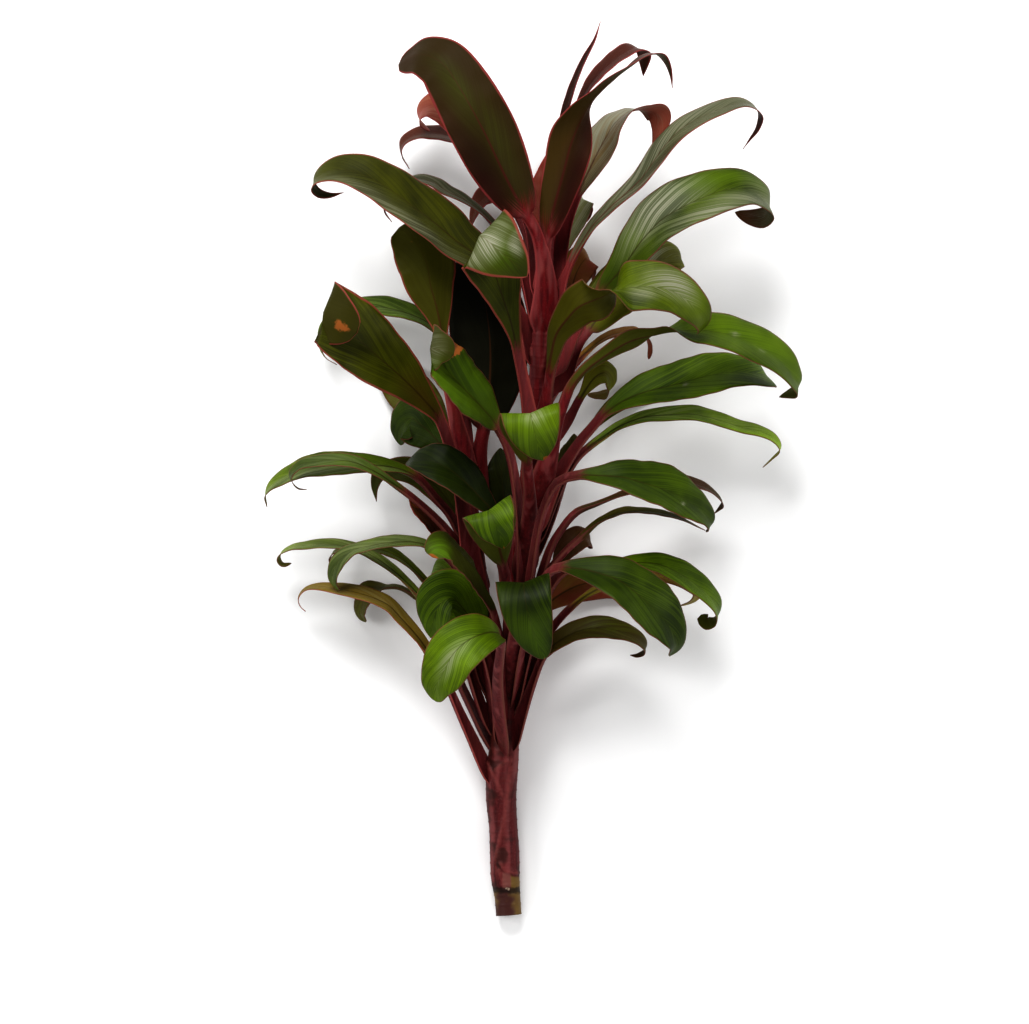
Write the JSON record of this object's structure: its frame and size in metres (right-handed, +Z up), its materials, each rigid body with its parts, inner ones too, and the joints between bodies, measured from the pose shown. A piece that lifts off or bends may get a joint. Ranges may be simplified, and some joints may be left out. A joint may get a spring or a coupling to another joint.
{
  "type": "cut ti plant",
  "caption": "Cut leafy ti plant stem lying on a table: a cane with a side shoot, red leaf stalks and long curved green and bronze blades.",
  "frame": {"origin": "centre of the plant's bounding box, on the table that it lies on", "axes": "+Y runs along the cane from the cut end to the leaf tips, +X is to the right as the camera sees it from above, +Z is up from the table"},
  "size_m": [0.3791, 0.6299, 0.1765],
  "materials": {
    "stalk": "satin, deep maroon-red stalks over a brown ringed cane",
    "leaf_green": "satin leaf, dark to bright green with fine lengthwise veins and a thin red-brown margin",
    "leaf_bronze": "satin leaf, dark bronze-green with a pink-red margin",
    "leaf_dusky": "satin leaf, grey-green with a pale sheen and a dark margin",
    "leaf_mottled": "satin leaf, green and bronze in soft streaks with a pink margin"
  },
  "bodies": {
    "root": {"stem": "stalk", "spear": "leaf_bronze", "crown_hook": "leaf_bronze", "crown_twist": "leaf_bronze", "crown_paddle": "leaf_bronze", "crown_sheen": "leaf_dusky", "right_reach": "leaf_dusky", "right_gloss": "leaf_green", "right_under": "leaf_green", "right_turned": "leaf_green", "right_long": "leaf_green", "right_flat": "leaf_green", "right_slim": "leaf_green", "right_broad": "leaf_green", "right_behind": "leaf_green", "right_thread": "leaf_green", "right_low": "leaf_green", "right_curl": "leaf_green", "right_tuck": "leaf_green", "right_foot": "leaf_green", "back_slip": "leaf_green", "front_tongue": "leaf_green", "front_lobe": "leaf_green", "front_flag": "leaf_green", "front_fold": "leaf_mottled", "left_bright": "leaf_green", "front_nick": "leaf_green", "left_sweep": "leaf_mottled", "left_grey": "leaf_dusky", "left_red_curl": "leaf_bronze", "left_red_arc": "leaf_bronze", "left_small": "leaf_bronze", "side_tall": "leaf_mottled", "side_shade": "leaf_mottled", "side_slip": "leaf_green", "side_paddle": "leaf_mottled", "side_droop": "leaf_green", "side_broad": "leaf_green", "side_long": "leaf_green", "side_slim": "leaf_green", "side_dark": "leaf_green", "side_brown": "leaf_bronze", "side_cupped": "leaf_green", "low_arch": "leaf_green", "low_whip": "leaf_green", "low_thread": "leaf_green", "low_bronze": "leaf_mottled", "low_tip": "leaf_green", "low_cup": "leaf_green", "low_small": "leaf_green", "back_thorn": "leaf_green", "back_hook": "leaf_green", "back_grey": "leaf_dusky", "back_green": "leaf_green", "back_drop": "leaf_green", "back_veined": "leaf_green", "table_left": "leaf_green", "table_right": "leaf_green", "table_top": "leaf_bronze", "table_low": "leaf_green"}
  },
  "joints": []
}
